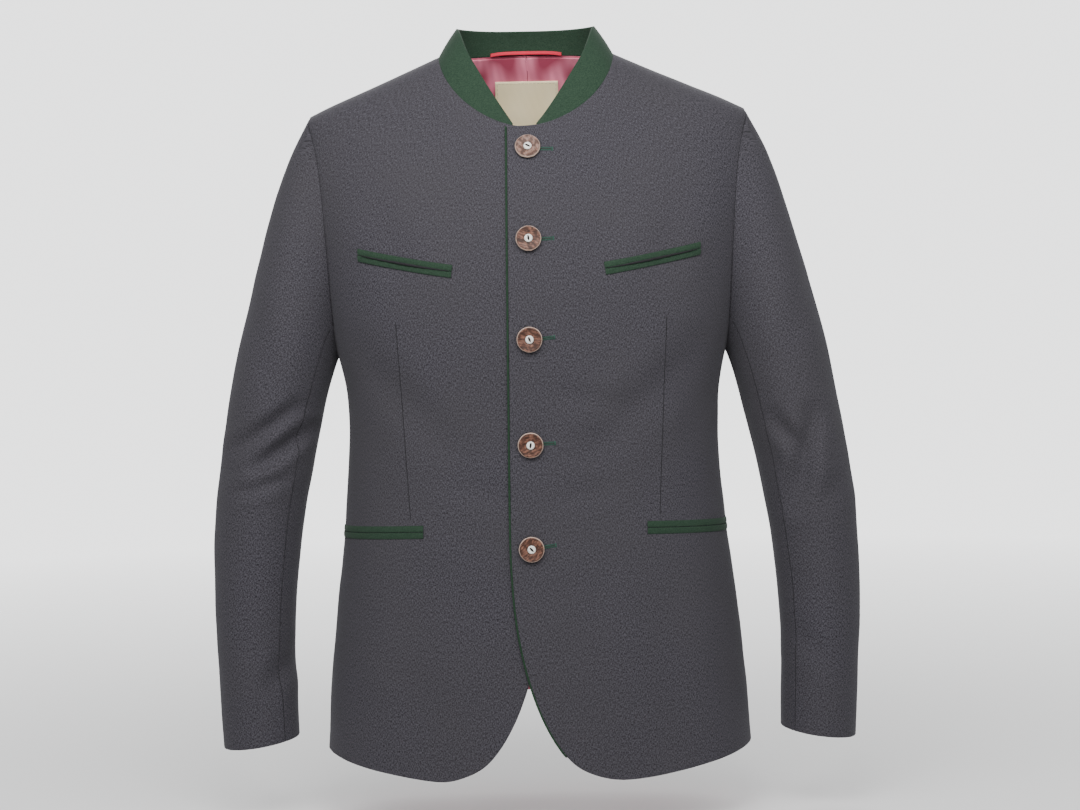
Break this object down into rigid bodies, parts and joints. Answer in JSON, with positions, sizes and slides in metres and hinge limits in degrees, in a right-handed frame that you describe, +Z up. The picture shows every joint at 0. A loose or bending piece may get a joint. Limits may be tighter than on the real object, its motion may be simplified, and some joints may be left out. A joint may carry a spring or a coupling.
{
  "type": "trachten jacket",
  "caption": "Charcoal wool trachten jacket in its hollow worn form, with a green stand collar, green welt pockets, horn buttons and a rounded cutaway hem.",
  "frame": {"origin": "middle of the neck at the height of the side neck points, where the wearer carries the jacket", "axes": "+Z up along the wearer, +X to the wearer's left, the front faces -Y"},
  "size_m": [0.664, 0.2506, 0.7544],
  "materials": {
    "wool": "charcoal melange milled wool",
    "loden": "forest green loden",
    "lining": "dusty rose satin",
    "crimson_tape": "crimson satin tape",
    "label_cloth": "cream woven label, bare",
    "horn": "mottled polished stag horn",
    "eyelet": "smooth off-white"
  },
  "bodies": {
    "root": {"front_left": "wool", "front_right": "wool", "back_left": "wool", "back_right": "wool", "sleeve_left_upper": "wool", "sleeve_left_under": "wool", "sleeve_right_upper": "wool", "sleeve_right_under": "wool", "collar": "loden", "front_piping": "loden", "chest_welt_left_upper": "loden", "chest_welt_left_lower": "loden", "chest_welt_right_upper": "loden", "chest_welt_right_lower": "loden", "hip_welt_left_upper": "loden", "hip_welt_left_lower": "loden", "hip_welt_right_upper": "loden", "hip_welt_right_lower": "loden", "lining_left": "lining", "lining_right": "lining", "hanger_loop": "crimson_tape", "label": "label_cloth", "button_1": "horn", "button_2": "horn", "button_3": "horn", "button_4": "horn", "button_5": "horn", "eyelet_1": "eyelet", "eyelet_2": "eyelet", "eyelet_3": "eyelet", "eyelet_4": "eyelet", "eyelet_5": "eyelet"}
  },
  "joints": []
}
